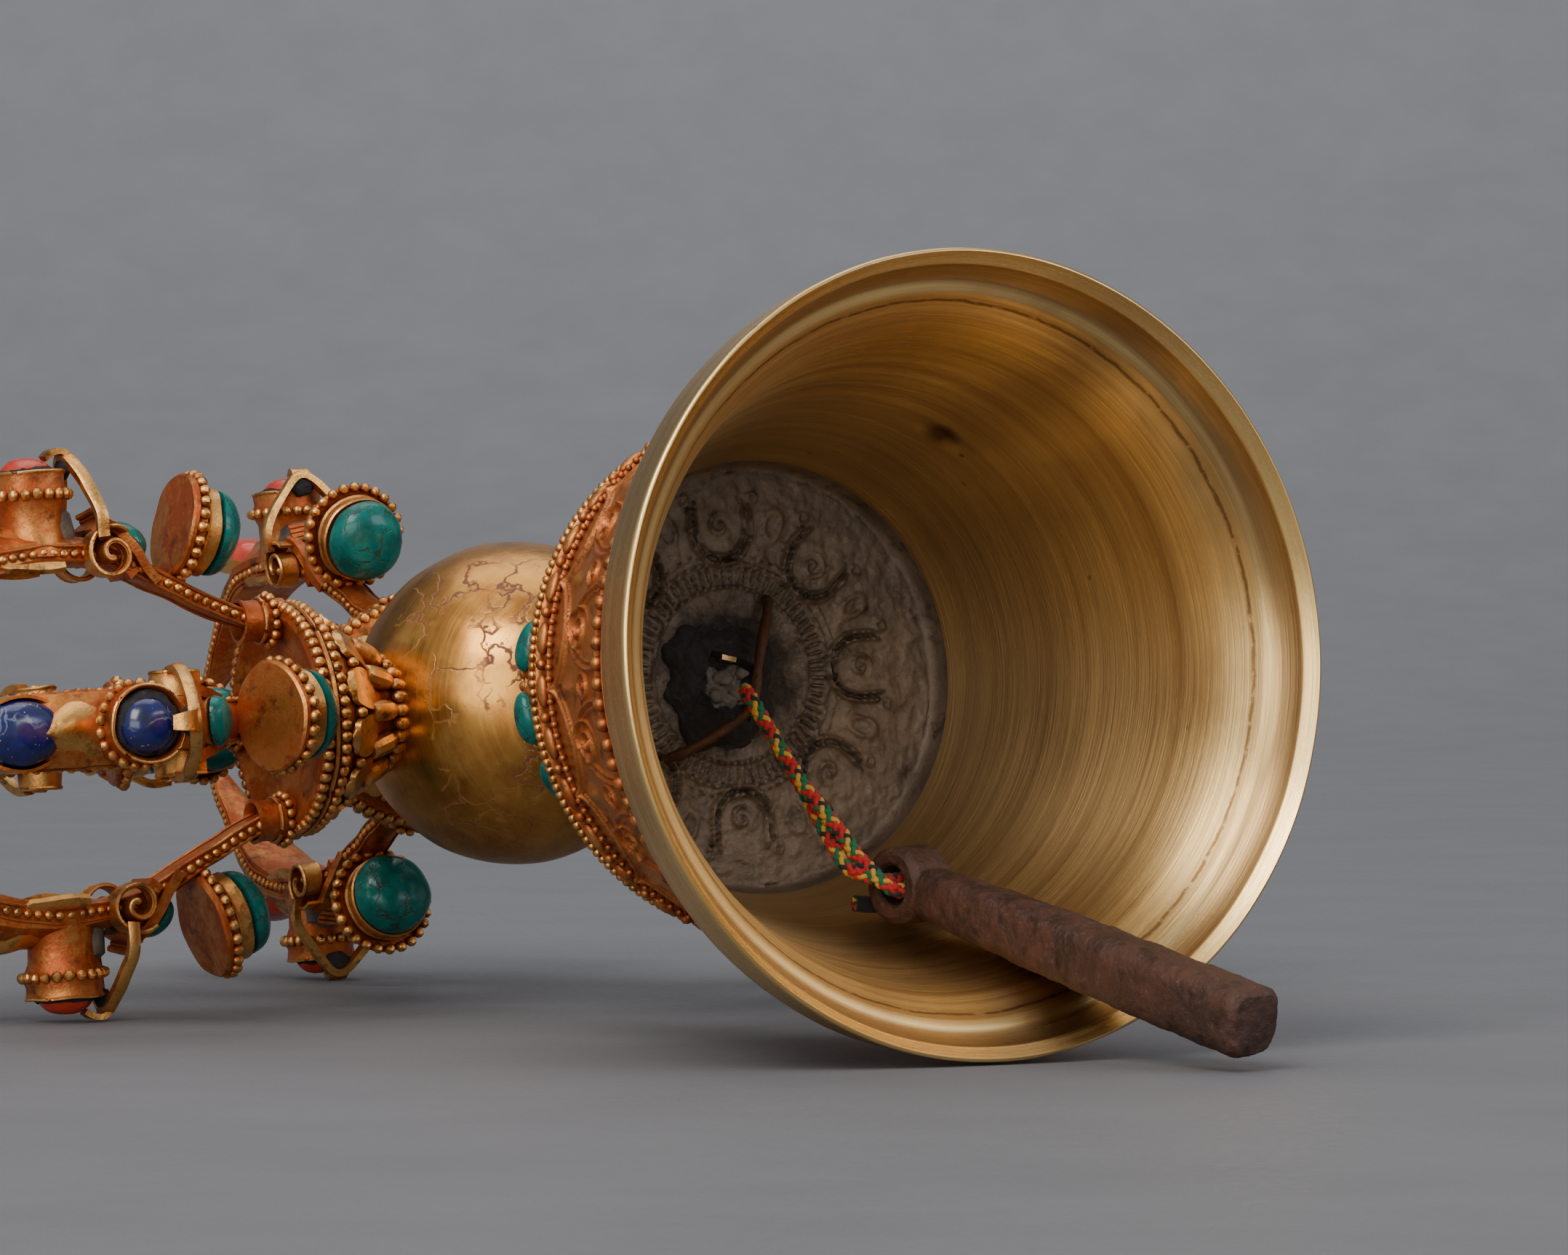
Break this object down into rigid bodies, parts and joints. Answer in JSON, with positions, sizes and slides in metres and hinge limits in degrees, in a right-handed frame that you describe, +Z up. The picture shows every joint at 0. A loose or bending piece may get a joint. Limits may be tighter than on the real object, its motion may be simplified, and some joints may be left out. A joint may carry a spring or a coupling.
{
  "type": "tibetan bell",
  "caption": "Ritual hand bell lying on its side, with a gilt ball handle carrying three jewelled thunderbolt heads and an iron clapper hung on a braided cord.",
  "frame": {"origin": "middle of the bounding box on the table the bell lies on", "axes": "+Z up from the table; the mouth opens toward -Y and the bell's axis runs toward +Y, dipping 3.4 degrees toward the handle; the side heads point along -X and +X"},
  "size_m": [0.2056, 0.2504, 0.0937],
  "materials": {
    "brass": "turned and polished, softly worn",
    "gilt": "gilt copper, worn, with orange lacquer in the hollows",
    "gilt_relief": "gilt copper sheet, worn, rust-orange lacquer in the relief",
    "ball_gilt": "smooth brushed gilt with brown cracks",
    "cast_crown": "rough cast, dull grey-brown",
    "pitch": "black pitch",
    "iron": "rusty wire",
    "clapper_iron": "dark rusty iron",
    "turquoise": "polished, dark veins",
    "coral": "polished, pitted",
    "lapis": "polished, flecked",
    "cord": "braided red, green, yellow and black yarn"
  },
  "bodies": {
    "bell": {"bell_shell": "brass", "shoulder_sheet": "gilt_relief", "shoulder_beads": "gilt", "crown_plate": "cast_crown", "crown_pitch": "pitch", "staple": "iron", "neck_vase": "gilt", "neck_ring": "gilt", "neck_lotus": "gilt", "hub_ball": "ball_gilt", "left_lotus": "gilt", "left_ring": "gilt", "left_centre_point": "gilt", "left_arm_1": "gilt_relief", "left_lapis_1": "lapis", "left_turquoise_1": "turquoise", "left_arm_2": "gilt_relief", "left_coral_2": "coral", "left_turquoise_2": "turquoise", "left_arm_3": "gilt_relief", "left_lapis_3": "lapis", "left_turquoise_3": "turquoise", "left_arm_4": "gilt_relief", "left_coral_4": "coral", "left_turquoise_4": "turquoise", "right_lotus": "gilt", "right_ring": "gilt", "right_centre_point": "gilt", "right_arm_1": "gilt_relief", "right_lapis_1": "lapis", "right_turquoise_1": "turquoise", "right_arm_2": "gilt_relief", "right_coral_2": "coral", "right_turquoise_2": "turquoise", "right_arm_3": "gilt_relief", "right_lapis_3": "lapis", "right_turquoise_3": "turquoise", "right_arm_4": "gilt_relief", "right_coral_4": "coral", "right_turquoise_4": "turquoise", "top_lotus": "gilt", "top_ring": "gilt", "top_centre_point": "gilt", "top_arm_1": "gilt_relief", "top_lapis_1": "lapis", "top_turquoise_1": "turquoise", "top_arm_2": "gilt_relief", "top_coral_2": "coral", "top_turquoise_2": "turquoise", "top_arm_3": "gilt_relief", "top_lapis_3": "lapis", "top_turquoise_3": "turquoise", "top_arm_4": "gilt_relief", "top_coral_4": "coral", "top_turquoise_4": "turquoise"},
    "loop": {"cord_loop": "cord"},
    "cord": {"cord": "cord"},
    "clapper": {"clapper": "clapper_iron"}
  },
  "joints": [
    {"name": "cord_turn", "type": "hinge", "parent": "bell", "child": "loop", "pos_m": [-0.00451, -0.05071, 0.04067], "axis": [0, -0.9983, 0.0588], "range_deg": [0, 30]},
    {"name": "cord_lift", "type": "hinge", "parent": "loop", "child": "cord", "pos_m": [-0.00451, -0.05071, 0.04067], "axis": [-0.8849, -0.0274, -0.4649], "range_deg": [0, 45]},
    {"name": "clapper_swing", "type": "hinge", "parent": "cord", "child": "clapper", "pos_m": [0.00736, -0.06821, 0.01909], "axis": [-0.978, -0.2041, -0.0428], "range_deg": [0, 30]}
  ]
}
